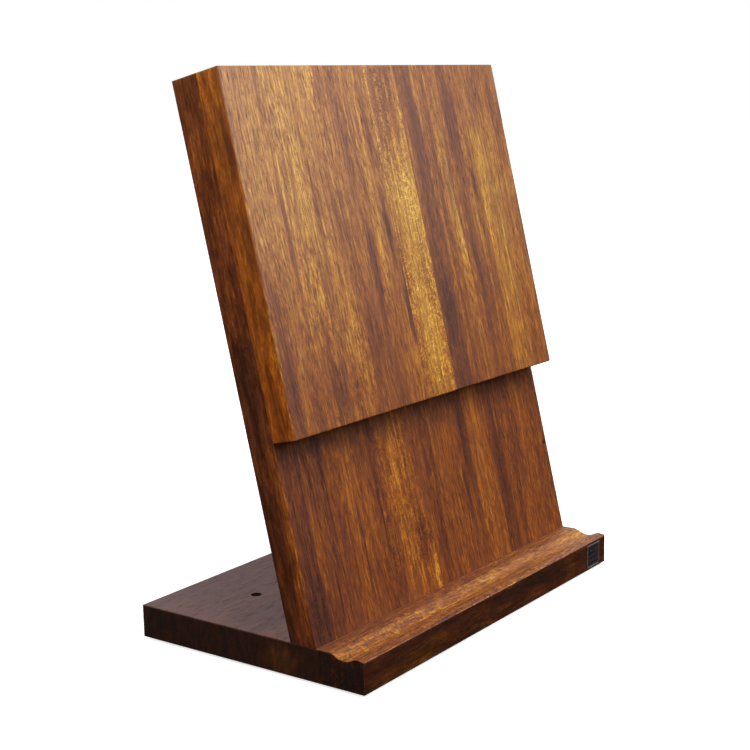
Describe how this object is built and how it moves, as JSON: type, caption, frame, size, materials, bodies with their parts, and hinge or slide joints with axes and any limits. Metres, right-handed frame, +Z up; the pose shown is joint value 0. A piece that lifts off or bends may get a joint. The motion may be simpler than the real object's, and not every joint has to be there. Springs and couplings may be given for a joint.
{
  "type": "magnetic knife block",
  "caption": "Slanted wooden magnetic knife easel: a grooved base, a leaning back board and a thicker upper panel with magnets behind its face.",
  "frame": {"origin": "middle of the base's footprint, on the surface that the foot pads stand on", "axes": "+X to the right along the width, +Y towards the rear, +Z up; the back board leans towards +Y"},
  "size_m": [0.33, 0.1976, 0.4008],
  "materials": {
    "base_wood": "dark oiled, satin",
    "board_wood": "dark oiled, satin",
    "panel_wood": "golden brown oiled, satin",
    "filler_wood": "bare planed",
    "dowel_wood": "bare fluted",
    "magnet_nickel": "nickel plated",
    "backing_steel": "mild steel flat bar",
    "screw_steel": "zinc plated",
    "pad_rubber": "matt moulded",
    "badge_metal": "burnished with a bright rim"
  },
  "bodies": {
    "root": {"base_front_rail": "base_wood", "base_middle_stave": "base_wood", "base_rear_stave": "base_wood", "base_back_rail": "base_wood", "board_stave_1": "board_wood", "board_stave_2": "board_wood", "board_stave_3": "board_wood", "board_stave_4": "board_wood", "board_stave_5": "board_wood", "panel_stave_1": "panel_wood", "panel_stave_2": "panel_wood", "panel_stave_3": "panel_wood", "panel_stave_4": "panel_wood", "panel_stave_5": "panel_wood", "panel_stave_6": "panel_wood", "magnets_low": "magnet_nickel", "magnets_middle": "magnet_nickel", "magnets_high": "magnet_nickel", "backing_bar_low": "backing_steel", "backing_bar_middle": "backing_steel", "backing_bar_high": "backing_steel", "filler_strip_low": "filler_wood", "filler_strip_middle": "filler_wood", "filler_strip_high": "filler_wood", "assembly_screws": "screw_steel", "dowels": "dowel_wood", "foot_pad_front_left": "pad_rubber", "foot_pad_front_right": "pad_rubber", "foot_pad_rear_left": "pad_rubber", "foot_pad_rear_right": "pad_rubber", "badge_plate": "badge_metal"}
  },
  "joints": []
}
